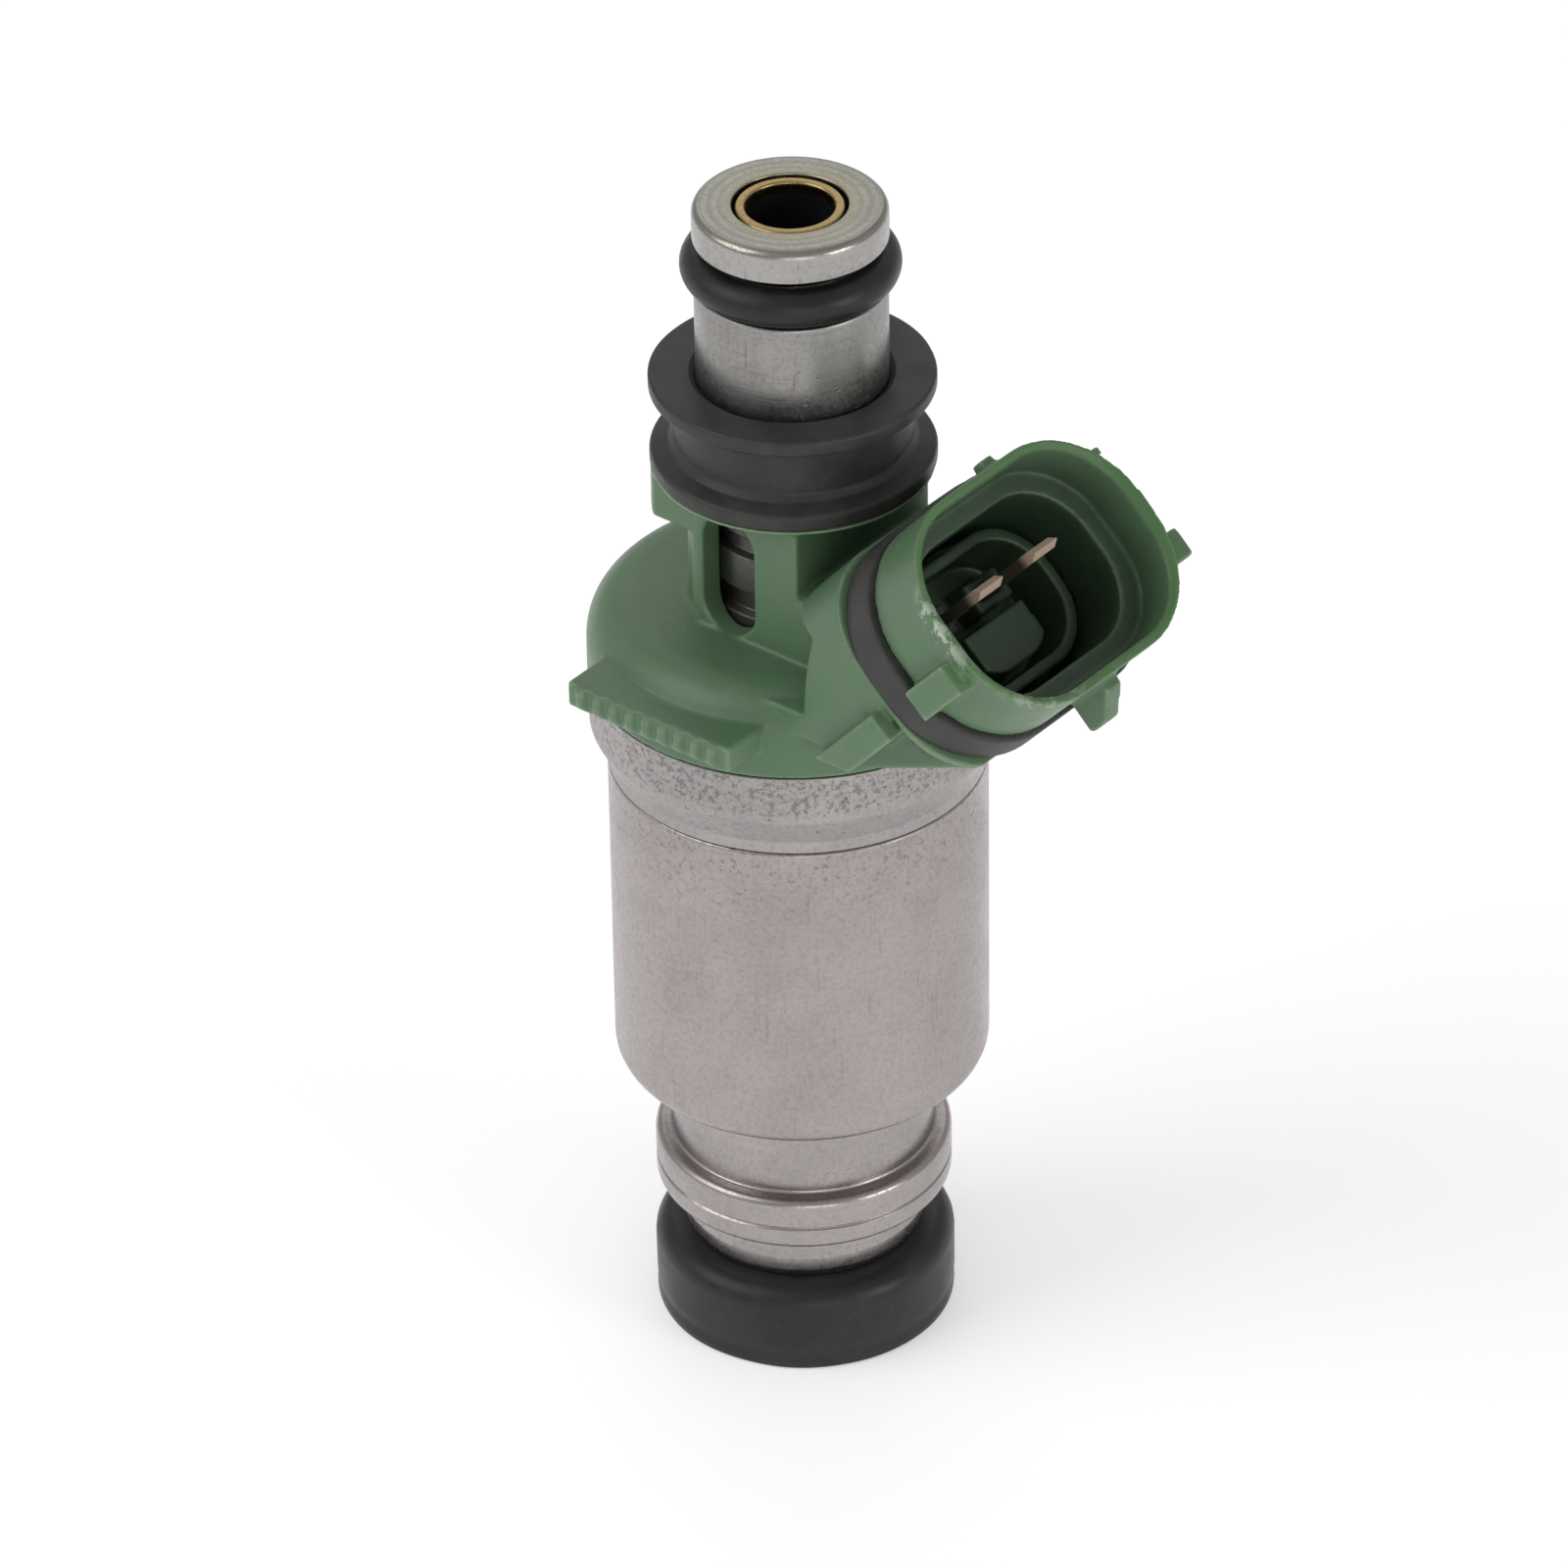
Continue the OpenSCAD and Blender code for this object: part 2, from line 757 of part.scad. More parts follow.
// inner wall and key block on the socket's floor
module socket_core() {
    difference() {
        at_socket() {
            difference() {
                oval_prism(5.9, 4.3, 3.7, ridge_d, floor_d + 0.2);
                oval_prism(5.2, 3.6, 3.1, ridge_d - 1, floor_d);
            }
            intersection() {
                box([0.2, -2.6, -floor_d - 0.2], [3.3, 2.6, -ridge_d]);
                oval_prism(3.4, 3.1, 2.6, 0, floor_d + 1);
            }
            for (s = [-1, 1])
                box([-2.2, s * pin_pitch / 2 - 1.45, -floor_d - 0.2],
                    [-0.3, s * pin_pitch / 2 + 1.45, -7.6]);
        }
        for (s = [-1, 1])
            terminal(s, 0.02);
    }
}

// Oval rubber gasket round the socket
module connector_seal() {
    color("#2b2c2e")
        at_socket()
            difference() {
                oval_prism(9.45, 6.78, 6.3, seal_d0 + gap, seal_d1 - gap);
                oval_prism(neck_a + gap, neck_b + gap, 5.4 + gap, seal_d0 - 1, seal_d1 + 1);
            }
}

inlet_core();
filter_collar();
filter_basket();
filter_mesh();
rail_o_ring();
rail_grommet();
adjusting_tube();
return_spring();
connector_body();
connector_seal();
terminal_front();
terminal_rear();
coil_bobbin();
coil_winding();
bobbin_upper_o_ring();
bobbin_lower_o_ring();
yoke_collar();
main_housing();
non_magnetic_sleeve();
armature();
valve_needle();
stop_spacer();
nozzle_holder();
holder_o_ring();
valve_body();
orifice_plate();
tip_cap();
manifold_seal();
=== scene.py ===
"""Looks of a top-feed fuel injector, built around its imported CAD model.

Lengths are in millimetres, and MM turns them into metres. Turned pieces are lathe meshes
with rounded corners. Moulded pieces are fine meshes with softened edges. The other pieces keep
their CAD shape. Materials are worked out from places on the injector, without any image.
"""

import json
import math

import bmesh
import bpy
import numpy as np
from mathutils import Matrix, Vector, noise


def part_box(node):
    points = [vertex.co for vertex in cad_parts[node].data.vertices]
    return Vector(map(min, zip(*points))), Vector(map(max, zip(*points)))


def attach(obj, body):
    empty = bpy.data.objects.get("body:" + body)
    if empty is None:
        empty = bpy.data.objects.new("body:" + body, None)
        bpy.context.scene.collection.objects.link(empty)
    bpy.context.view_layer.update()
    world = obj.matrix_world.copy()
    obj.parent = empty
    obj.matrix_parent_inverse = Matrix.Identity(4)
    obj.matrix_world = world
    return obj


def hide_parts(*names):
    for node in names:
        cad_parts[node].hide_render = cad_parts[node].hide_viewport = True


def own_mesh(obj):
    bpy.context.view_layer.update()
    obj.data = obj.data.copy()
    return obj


MM = 0.001
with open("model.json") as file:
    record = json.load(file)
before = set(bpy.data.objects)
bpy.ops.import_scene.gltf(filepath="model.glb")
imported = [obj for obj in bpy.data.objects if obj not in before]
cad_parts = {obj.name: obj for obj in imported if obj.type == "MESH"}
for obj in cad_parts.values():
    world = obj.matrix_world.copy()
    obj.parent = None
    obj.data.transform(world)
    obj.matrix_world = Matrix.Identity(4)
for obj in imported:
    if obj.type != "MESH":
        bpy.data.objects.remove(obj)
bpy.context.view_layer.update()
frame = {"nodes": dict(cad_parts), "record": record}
cad = frame["nodes"]


def low(node):
    """Height of the lowest point of a CAD node."""
    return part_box(node)[0][2] / MM


def high(node):
    """Height of the highest point of a CAD node."""
    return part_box(node)[1][2] / MM


def radius(node):
    """Outer radius of a turned CAD node."""
    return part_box(node)[1][1] / MM


# ---------- camera ----------

FRAME_PX = 1600
SENSOR_MM = 36
FOCAL_PX = 9500
ELEVATION = math.radians(34)
AZIMUTH = math.radians(39)
ROLL = math.radians(-0.93)
DISTANCE = 526
AIM_HEIGHT = 35
AIM_RIGHT_PX = 15


def direction(azimuth, elevation):
    """Unit vector towards this azimuth and elevation. Azimuth 0 is -Y and 90 is +X."""
    level = math.cos(elevation)
    return Vector((math.sin(azimuth) * level, -math.cos(azimuth) * level, math.sin(elevation)))


def make_camera():
    """A long lens that looks down at the injector, with a slight roll."""
    back = direction(AZIMUTH, ELEVATION)
    level = Vector((math.cos(AZIMUTH), math.sin(AZIMUTH), 0))
    right = level * math.cos(ROLL) + back.cross(level) * math.sin(ROLL)
    shift = right * (AIM_RIGHT_PX / FOCAL_PX * DISTANCE)
    place = Vector((0, 0, AIM_HEIGHT)) + back * DISTANCE - shift
    camera = bpy.data.objects.new("camera", bpy.data.cameras.new("camera"))
    camera.data.sensor_width = SENSOR_MM
    camera.data.lens = SENSOR_MM * FOCAL_PX / FRAME_PX
    camera.data.clip_start = 0.01
    camera.data.clip_end = 10
    turn = Matrix((right, back.cross(right), back)).transposed().to_4x4()
    camera.matrix_world = Matrix.Translation(place * MM) @ turn
    bpy.context.scene.collection.objects.link(camera)
    bpy.context.scene.camera = camera


make_camera()


# ---------- light and floor ----------

WORLD_LIGHT = 0.49
FLOOR_HALF_SIDE = 3
FLOOR_WHITE = 0.92
FLOOR_GLOW = 0.32

# azimuth and elevation in degrees, distance and size in metres, power in watts
LIGHTS = {
    "key": (-35, 42, 0.6, 0.4, 1.15),
    "fill": (95, 16, 0.7, 0.3, 1.0),
    "front": (48, 8, 0.9, 0.5, 1.2),
    "back": (219, 38, 0.8, 0.6, 0.6),
}


def area_light(name, azimuth, elevation, distance, size, power):
    """Square soft box that looks at the middle of the injector."""
    back = direction(math.radians(azimuth), math.radians(elevation))
    data = bpy.data.lights.new(name, "AREA")
    data.size = size
    data.energy = power
    light = bpy.data.objects.new(name, data)
    light.location = Vector((0, 0, AIM_HEIGHT * MM)) + back * distance
    light.rotation_mode = "QUATERNION"
    light.rotation_quaternion = (-back).to_track_quat("-Z", "Y")
    bpy.context.scene.collection.objects.link(light)


def make_studio():
    """White surroundings, four soft boxes and a pale floor."""
    bpy.context.scene.view_settings.view_transform = "Standard"
    world = bpy.data.worlds.new("studio")
    bpy.context.scene.world = world
    world.use_nodes = True
    background = world.node_tree.nodes["Background"]
    background.inputs["Color"].default_value = (1, 1, 1, 1)
    background.inputs["Strength"].default_value = WORLD_LIGHT
    for name, settings in LIGHTS.items():
        area_light(name, *settings)
    side = FLOOR_HALF_SIDE
    mesh = bpy.data.meshes.new("floor")
    corners = [(-side, -side, 0), (side, -side, 0), (side, side, 0), (-side, side, 0)]
    mesh.from_pydata(corners, [], [(0, 1, 2, 3)])
    floor = bpy.data.objects.new("floor", mesh)
    bpy.context.scene.collection.objects.link(floor)
    paper = bpy.data.materials.new("paper")
    paper.use_nodes = True
    shader = paper.node_tree.nodes["Principled BSDF"]
    shader.inputs["Base Color"].default_value = (FLOOR_WHITE, FLOOR_WHITE, FLOOR_WHITE, 1)
    shader.inputs["Roughness"].default_value = 0.9
    shader.inputs["Emission Color"].default_value = (1, 1, 1, 1)
    shader.inputs["Emission Strength"].default_value = FLOOR_GLOW
    floor.data.materials.append(paper)


make_studio()


# ---------- the electrical socket ----------

# OUTWARD points out of its mouth and UNDER towards its lower side
TILT = math.radians(42)
MOUTH = Vector((17.7, 0, 56.2))
OUTWARD = Vector((math.sin(TILT), 0, math.cos(TILT)))
UNDER = Vector((math.cos(TILT), 0, -math.sin(TILT)))
SOCKET_DEPTH = 9.6


# ---------- materials ----------

class Look:
    """One procedural material. Its coordinates are millimetres in the injector's frame."""

    def __init__(self, name, colour, rough, metallic=0.0, ior=1.5):
        self.material = bpy.data.materials.new(name)
        self.material.use_nodes = True
        self.tree = self.material.node_tree
        self.shader = self.tree.nodes["Principled BSDF"]
        self.shader.inputs["Metallic"].default_value = metallic
        self.shader.inputs["IOR"].default_value = ior
        self.colour = (*colour, 1)
        self.rough = rough
        self.height = 0.0
        coordinates = self.tree.nodes.new("ShaderNodeTexCoord")
        scaled = self.node("VectorMath", {0: coordinates.outputs["Object"], "Scale": 1 / MM},
                           operation="SCALE")
        self.place = scaled.outputs[0]

    def node(self, kind, inputs, **settings):
        """Shader node whose inputs are other nodes' sockets or plain values."""
        made = self.tree.nodes.new("ShaderNode" + kind)
        for key, value in settings.items():
            setattr(made, key, value)
        for key, value in inputs.items():
            if isinstance(value, bpy.types.NodeSocket):
                self.tree.links.new(value, made.inputs[key])
            else:
                made.inputs[key].default_value = value
        return made

    def plus(self, a, b):
        return self.node("Math", {0: a, 1: b}, operation="ADD").outputs[0]

    def times(self, a, b):
        return self.node("Math", {0: a, 1: b}, operation="MULTIPLY").outputs[0]

    def noise(self, per_mm, detail=3, rough=0.5, stretch=(1, 1, 1), distortion=0.0):
        """Cloudy noise from 0 to 1, with per_mm times stretch clouds in a millimetre."""
        vector = self.place
        if stretch != (1, 1, 1):
            vector = self.node("VectorMath", {0: vector, 1: stretch},
                               operation="MULTIPLY").outputs[0]
        return self.node("TexNoise", {"Vector": vector, "Scale": per_mm, "Detail": detail,
                                      "Roughness": rough, "Distortion": distortion}).outputs[0]

    def ramp(self, value, start, end, low_value=0.0, high_value=1.0):
        """Goes smoothly from low_value to high_value as value goes from start to end."""
        return self.node("MapRange", {"Value": value, "From Min": start, "From Max": end,
                                      "To Min": low_value, "To Max": high_value},
                         interpolation_type="SMOOTHSTEP").outputs[0]

    def axis(self, letter):
        return self.node("SeparateXYZ", {0: self.place}).outputs[letter]

    def band(self, start, end, soft):
        """1 between two heights, falling to 0 over soft."""
        z = self.axis("Z")
        rise = self.ramp(z, start - soft, start)
        return self.times(rise, self.ramp(z, end, end + soft, 1.0, 0.0))

    def from_axis(self):
        """Distance from the injector's axis."""
        flat = self.node("VectorMath", {0: self.place, 1: (1, 1, 0)}, operation="MULTIPLY")
        return self.node("VectorMath", {0: flat.outputs[0]}, operation="LENGTH").outputs[1]

    def depth(self):
        """Depth below the mouth of the electrical socket."""
        along = self.node("VectorMath", {0: self.place, 1: -OUTWARD}, operation="DOT_PRODUCT")
        return self.plus(along.outputs[1], MOUTH.dot(OUTWARD))

    def value(self, name):
        """The mesh's own value of that name at each vertex."""
        return self.node("Attribute", {}, attribute_name=name).outputs["Fac"]

    def blend(self, factor, colour):
        """Mixes a second colour into the base colour."""
        mixed = self.node("Mix", {0: factor, 6: self.colour, 7: (*colour, 1)}, data_type="RGBA")
        self.colour = mixed.outputs[2]

    def shade(self, factor, amount):
        """Multiplies the base colour by 1 - amount where factor is 1."""
        mixed = self.node("Mix", {0: self.times(factor, amount), 6: self.colour,
                                  7: (0, 0, 0, 1)}, data_type="RGBA")
        self.colour = mixed.outputs[2]

    def roughen(self, factor, amount):
        """Adds to the roughness where factor is 1."""
        self.rough = self.plus(self.rough, self.times(factor, amount))

    def raise_by(self, factor, depth):
        """Adds relief, in millimetres, for the bump."""
        self.height = self.plus(self.height, self.times(factor, depth * MM))

    def finish(self):
        """Joins colour, roughness and relief to the shader."""
        bump = self.node("Bump", {"Height": self.height, "Strength": 1.0, "Distance": 1.0})
        for socket, value in (("Base Color", self.colour), ("Roughness", self.rough)):
            if isinstance(value, bpy.types.NodeSocket):
                self.tree.links.new(value, self.shader.inputs[socket])
            else:
                self.shader.inputs[socket].default_value = value
        self.tree.links.new(bump.outputs[0], self.shader.inputs["Normal"])
        return self.material


def metal(name, colour, rough, pits, lines, streaks, stain=(0.2, 0.15, 0.1)):
    """Used steel or brass: clouds, grain, dark pits, turned lines, long scratches and stains."""
    look = Look(name, colour, rough, metallic=1.0)
    clouds = look.ramp(look.noise(0.16, 4, 0.6), 0.35, 0.7)
    look.shade(clouds, 0.1)
    look.roughen(clouds, 0.1)
    grain = look.noise(3.6, 4, 0.65)
    look.shade(look.ramp(grain, 0.42, 0.7), 0.12)
    look.roughen(look.ramp(grain, 0.35, 0.75), 0.14)
    look.raise_by(grain, 0.004)
    spots = look.ramp(look.noise(3.4, 2, 0.5), 0.7 - 0.06 * pits, 0.77 - 0.06 * pits)
    look.shade(spots, 0.4 * min(1, pits))
    look.raise_by(spots, -0.01)
    turned = look.noise(1.0, 3, 0.7, stretch=(0.12, 0.12, 9))
    look.raise_by(turned, 0.004 * lines)
    look.shade(look.ramp(turned, 0.5, 0.75), 0.16 * lines)
    scratches = look.ramp(look.noise(1.0, 3, 0.6, stretch=(5, 5, 0.25)), 0.6, 0.72)
    look.roughen(scratches, 0.1 * streaks)
    look.shade(scratches, 0.25 * streaks)
    look.raise_by(scratches, -0.004 * streaks)
    look.blend(look.ramp(look.noise(0.3, 4, 0.6, distortion=1.0), 0.66, 0.8, 0.0, 0.3), stain)
    return look


def rubber(name, colour, rough, dust):
    """Black rubber with a fine skin, soft wear patches and a little dust."""
    look = Look(name, colour, rough, ior=1.36)
    skin = look.noise(5, 4, 0.6)
    look.raise_by(skin, 0.005)
    wear = look.ramp(look.noise(0.35, 4, 0.6), 0.4, 0.7)
    look.roughen(wear, 0.14)
    look.blend(look.times(wear, 0.5), tuple(2 * c for c in colour))
    specks = look.ramp(look.noise(5, 2, 0.5), 0.74, 0.8)
    look.blend(look.times(specks, dust), (0.2, 0.19, 0.18))
    return look


def plastic(name, colour, rough):
    """Plain moulded plastic for the inner pieces."""
    look = Look(name, colour, rough)
    look.shade(look.ramp(look.noise(0.4, 4, 0.6), 0.35, 0.7), 0.2)
    fine = look.noise(4, 4, 0.6)
    look.raise_by(fine, 0.006)
    look.roughen(fine, 0.1)
    return look


def green_plastic():
    """The moulding: uneven green, pale edges that are partly wear and partly painted highlight,
    painted shade in creases, on the socket's lip and down the socket, scuffs on the lip and grime
    in the socket.
    """
    look = Look("green_plastic", (0.088, 0.164, 0.087), 0.32, ior=1.42)
    clouds = look.ramp(look.noise(0.22, 4, 0.6), 0.3, 0.75)
    look.blend(look.times(clouds, 0.6), (0.108, 0.172, 0.102))
    look.roughen(clouds, 0.08)
    fine = look.noise(3.5, 4, 0.6)
    look.raise_by(fine, 0.005)
    look.roughen(look.ramp(fine, 0.3, 0.8), 0.1)
    look.raise_by(look.ramp(look.noise(0.8, 3, 0.5), 0.3, 0.7), 0.012)
    flecks = look.ramp(look.noise(2.4, 2, 0.5), 0.7, 0.76)
    look.blend(look.times(flecks, 0.35), (0.2, 0.25, 0.18))
    # convex edges are paled, partly as wear and partly as painted highlight
    edge = look.value("edge")
    patchy = look.ramp(look.noise(0.9, 4, 0.6), 0.25, 0.7, 0.35, 1.0)
    look.blend(look.times(edge, patchy), (0.2, 0.3, 0.17))
    # painted shade: concave creases of the moulding are darkened where shade falls
    painted_crease_shade = look.value("painted_crease_shade")
    look.shade(painted_crease_shade, 0.35)
    # painted shade: the outward-facing lip of the socket is coloured a darker, deeper green
    rim = look.value("rim")
    look.blend(look.times(rim, 0.7), (0.055, 0.14, 0.038))
    # painted shade: the socket's walls darken with depth, as shade falls in the deep recess
    inside = look.value("inside")
    look.shade(inside, 0.66)
    # dark grime patches, laid on more thickly with depth, so partly dirt and partly painted shade
    grime = look.ramp(look.noise(1.2, 5, 0.7), 0.45, 0.7)
    grime_and_socket_shade = look.times(look.times(inside, grime), 0.35)
    look.blend(grime_and_socket_shade, (0.035, 0.035, 0.022))
    torn = look.ramp(look.noise(1.6, 4, 0.7, stretch=(1, 1, 0.6)), 0.46, 0.56)
    scuff = look.times(look.value("scuff"), torn)
    look.blend(scuff, (0.42, 0.46, 0.38))
    look.roughen(scuff, 0.3)
    look.raise_by(scuff, 0.02)
    return look


def inlet_steel():
    """Bright cap with tinted rings on its top, a duller neck darkened with painted shade, and a
    core below it that is darker and rougher.
    """
    look = metal("turned_steel", (0.375, 0.362, 0.348), 0.2, 0.4, 1.0, 1.0)
    z = look.axis("Z")
    distance = look.from_axis()
    on_top = look.ramp(z, 72.6, 72.9)
    rings = look.node("TexNoise", {"W": distance, "Scale": 3.5, "Detail": 3.0},
                      noise_dimensions="1D").outputs[0]
    look.blend(look.times(on_top, look.ramp(rings, 0.4, 0.6, 0.0, 0.7)),
               (0.26, 0.26, 0.17))
    near_bore = look.ramp(distance, 3.3, 4.3, 0.5, 0.0)
    look.blend(look.times(on_top, near_bore), (0.34, 0.31, 0.2))
    # painted shade: the neck, between the o-ring and the grommet, is darkened
    neck = look.band(56, 67.8, 0.5)
    look.shade(neck, 0.16)
    look.roughen(neck, 0.07)
    # painted shade at the foot of the neck, where the grommet closes over it
    look.shade(look.ramp(z, 56.8, 58.5, 1.0, 0.0), 0.1)
    # darker and rougher below the neck
    below = look.ramp(z, 56.3, 56.8, 1.0, 0.0)
    look.shade(below, 0.6)
    look.roughen(below, 0.2)
    return look


def collar_steel():
    """Steel with a band of coarse dark freckles just below the moulding."""
    look = metal("collar_steel", (0.41, 0.387, 0.382), 0.34, 0.9, 0.5, 0.3)
    coarse = look.ramp(look.noise(3.2, 3, 0.65), 0.5, 0.62)
    freckles = look.times(look.band(40.9, 42.9, 0.4), coarse)
    look.shade(freckles, 0.38)
    look.raise_by(freckles, -0.02)
    return look


def housing_steel():
    """Steel that is speckled towards its upper end."""
    look = metal("housing_steel", (0.4, 0.361, 0.358), 0.27, 0.35, 0.4, 0.5)
    speckles = look.ramp(look.noise(3.4, 3, 0.65), 0.54, 0.64)
    look.shade(look.times(look.ramp(look.axis("Z"), 30, 37), speckles), 0.28)
    return look


def black_plastic():
    """Glossy, slightly wavy plastic."""
    look = plastic("black_plastic", (0.012, 0.012, 0.013), 0.08)
    look.raise_by(look.noise(0.9, 2, 0.5), 0.15)
    return look


def strainer():
    """Woven sleeve: fine threads up and round."""
    look = plastic("strainer", (0.05, 0.05, 0.05), 0.5)
    for stretch in ((9, 9, 0.1), (0.1, 0.1, 9)):
        look.raise_by(look.noise(1.0, 0, 0.5, stretch=stretch), 0.03)
    return look


def terminal_copper():
    """Copper blades, bright at the tips, with painted shade darkening them down in the socket."""
    look = metal("terminal_copper", (1.0, 0.74, 0.58), 0.3, 0.3, 0.2, 0.4)
    look.shader.inputs["Metallic"].default_value = 0.45
    # painted shade: the blades darken with depth in the socket
    look.shade(look.ramp(look.depth(), 2.4, 3.3), 0.88)
    return look


def make_looks():
    """One material for each material slot of the record."""
    # metals: colour, roughness, then how many pits, turned lines and scratches
    # plastics: colour and roughness; rubbers: the same and how much dust
    looks = {
        "turned_steel": inlet_steel(),
        "brass": metal("brass", (0.4, 0.29, 0.13), 0.2, 0.4, 0.6, 0.2),
        "spring_steel": metal("spring_steel", (0.5, 0.5, 0.5), 0.3, 0.2, 0.2, 0.2),
        "terminal_copper": terminal_copper(),
        "winding_copper": metal("winding_copper", (0.6, 0.26, 0.12), 0.35, 0.1, 2.0, 0.0),
        "collar_steel": collar_steel(),
        "housing_steel": housing_steel(),
        "stainless": metal("stainless", (0.5, 0.49, 0.47), 0.28, 0.2, 0.6, 0.3),
        "holder_steel": metal("holder_steel", (0.4, 0.366, 0.362), 0.2, 0.45, 0.8, 0.4),
        "black_plastic": black_plastic(),
        "strainer": strainer(),
        "bobbin_plastic": plastic("bobbin_plastic", (0.1, 0.08, 0.06), 0.45),
        "ring_rubber": rubber("ring_rubber", (0.012, 0.012, 0.013), 0.33, 0.3),
        "grommet_rubber": rubber("grommet_rubber", (0.028, 0.027, 0.026), 0.4, 0.5),
        "gasket_rubber": rubber("gasket_rubber", (0.037, 0.037, 0.036), 0.48, 0.5),
        "seal_rubber": rubber("seal_rubber", (0.017, 0.017, 0.018), 0.34, 0.5),
        "green_plastic": green_plastic(),
    }
    return {name: look.finish() for name, look in looks.items()}


LOOKS = make_looks()
SLOT_OF = {part["node"]: part["material_slot"] for part in frame["record"]["subparts"]}

for name, node in cad.items():
    node.data.materials.clear()
    node.data.materials.append(LOOKS[SLOT_OF[name]])


def stand_for(piece, node):
    """The piece takes the place, the body and the finish of a CAD node."""
    bpy.context.scene.collection.objects.link(piece)
    piece.data.materials.clear()
    piece.data.materials.append(LOOKS[SLOT_OF[node]])
    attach(piece, "injector")
    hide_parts(node)


# ---------- turned pieces ----------

LATHE_STEPS = 192
ARC_STEPS = 6
RING_STEPS = 40
WAVES_PER_MM = 0.25
SHARE_OF_SIDE = 0.48    # the most that a rounding takes of the side next to it


def rounded(corners):
    """Closed outline through corners (radius, height, rounding)."""
    outline = []
    for i, (r, z, rounding) in enumerate(corners):
        here = Vector((r, z))
        if rounding == 0:
            outline.append(here)
            continue
        before = Vector(corners[i - 1][:2]) - here
        after = Vector(corners[(i + 1) % len(corners)][:2]) - here
        half = before.angle(after) / 2
        cut = min(rounding / math.tan(half), SHARE_OF_SIDE * before.length,
                  SHARE_OF_SIDE * after.length)
        before.normalize()
        after.normalize()
        centre = here + (before + after).normalized() * (cut / math.cos(half))
        start = here + before * cut - centre
        end = here + after * cut - centre
        turn = start.angle_signed(end)
        for k in range(ARC_STEPS + 1):
            outline.append(centre + Matrix.Rotation(-turn * k / ARC_STEPS, 2) @ start)
    return outline


def lathe(node, outline, wobble=0.0):
    """Closed mesh turned round the Z axis, with a slight waviness for rubber."""
    count = len(outline)
    points = []
    for i in range(LATHE_STEPS):
        a = 2 * math.pi * i / LATHE_STEPS
        for r, z in outline:
            p = Vector((r * math.cos(a), r * math.sin(a), z))
            shift = wobble * noise.noise(p * WAVES_PER_MM)
            points.append(((r + shift) * math.cos(a) * MM, (r + shift) * math.sin(a) * MM, z * MM))
    faces = []
    for i in range(LATHE_STEPS):
        j = (i + 1) % LATHE_STEPS
        for k in range(count):
            n = (k + 1) % count
            faces.append((i * count + k, i * count + n, j * count + n, j * count + k))
    mesh = bpy.data.meshes.new(node + "_turned")
    mesh.from_pydata(points, [], faces)
    made = bmesh.new()
    made.from_mesh(mesh)
    bmesh.ops.recalc_face_normals(made, faces=made.faces)
    made.to_mesh(mesh)
    made.free()
    mesh.shade_smooth()
    piece = bpy.data.objects.new(node + "_turned", mesh)
    weighted = piece.modifiers.new("flat_faces", "WEIGHTED_NORMAL")
    weighted.weight = 90
    weighted.keep_sharp = True
    stand_for(piece, node)


def turn_inlet():
    """The inlet with its cap, o-ring groove, neck and core, and the brass ring in its mouth."""
    top = high("inlet_core")
    spigot = radius("inlet_core")
    cap = top - 2
    groove_foot = cap - 2.85
    groove, neck = 3.8, 5.34
    core, core_foot = 4.7, 31.02
    pole, pole_foot = 4, 27
    bore, mouth = 1.9, 3.2
    lathe("inlet_core", rounded([
        (mouth, top, 0.1), (spigot, top, 0.5), (spigot, cap, 0.15), (groove, cap, 0.1),
        (groove, groove_foot, 0.1), (neck, groove_foot, 0.18), (neck, 57, 0.1), (core, 56.4, 0.1),
        (core, 53.95, 0.1), (core - 0.45, 53.8, 0.1), (core - 0.45, 52.8, 0.1),
        (core, 52.6, 0.1), (core, 50.4, 0.1), (core - 0.5, 50.2, 0.1),
        (core - 0.5, 49, 0.1), (core, 48.8, 0.1), (core, core_foot, 0.05), (pole, core_foot, 0),
        (pole, pole_foot, 0.2), (bore, pole_foot, 0.1), (bore, 55.4, 0), (mouth, 56, 0)]))
    foot, top = low("filter_collar"), high("filter_collar")
    hole, liner, lip, wall = 2.45, 2.75, 3.02, 3.18
    lathe("filter_collar", rounded([
        (hole, top - 0.7, 0), (liner, top - 0.7, 0), (liner, foot, 0), (wall, foot, 0),
        (wall, top - 1.3, 0.05), (lip, top - 1.2, 0.05), (lip, top, 0.16), (hole, top, 0.16)]))


def turn_rings():
    """The o-ring, the grommet below it and the seal at the foot."""
    bottom, top = low("rail_o_ring"), high("rail_o_ring")
    half = (top - bottom) / 2
    middle = radius("rail_o_ring") - half
    turns = [2 * math.pi * k / RING_STEPS for k in range(RING_STEPS)]
    lathe("rail_o_ring", [
        Vector((middle + half * math.cos(a), (bottom + top) / 2 + half * math.sin(a)))
        for a in turns], wobble=0.03)
    bottom, top, flange = low("rail_grommet"), high("rail_grommet"), radius("rail_grommet")
    hole = 5.36
    lathe("rail_grommet", rounded([
        (hole, bottom, 0.05), (flange, bottom, 0.22), (flange, bottom + 0.95, 0.3),
        (6.95, bottom + 1.3, 0.35), (6.65, bottom + 1.7, 0.3), (6.7, top - 1.3, 0.3),
        (flange - 0.3, top - 1.05, 0.15), (flange, top - 0.8, 0.15), (flange, top, 0.22),
        (5.7, top - 0.05, 0.12), (hole, top - 0.3, 0.1)]), wobble=0.06)
    top, wall = high("manifold_seal"), radius("manifold_seal")
    grip, recess, ledge = 5.97, 6.45, 2.12
    lathe("manifold_seal", rounded([
        (recess, 0, 0.1), (wall - 0.02, 0, 0.3), (wall, 0.5, 0.15), (wall - 0.06, 1.0, 0.3),
        (wall, 1.6, 0.5), (wall, top, 1.5), (grip, top, 0.1), (grip, ledge, 0),
        (recess, ledge, 0)]), wobble=0.05)


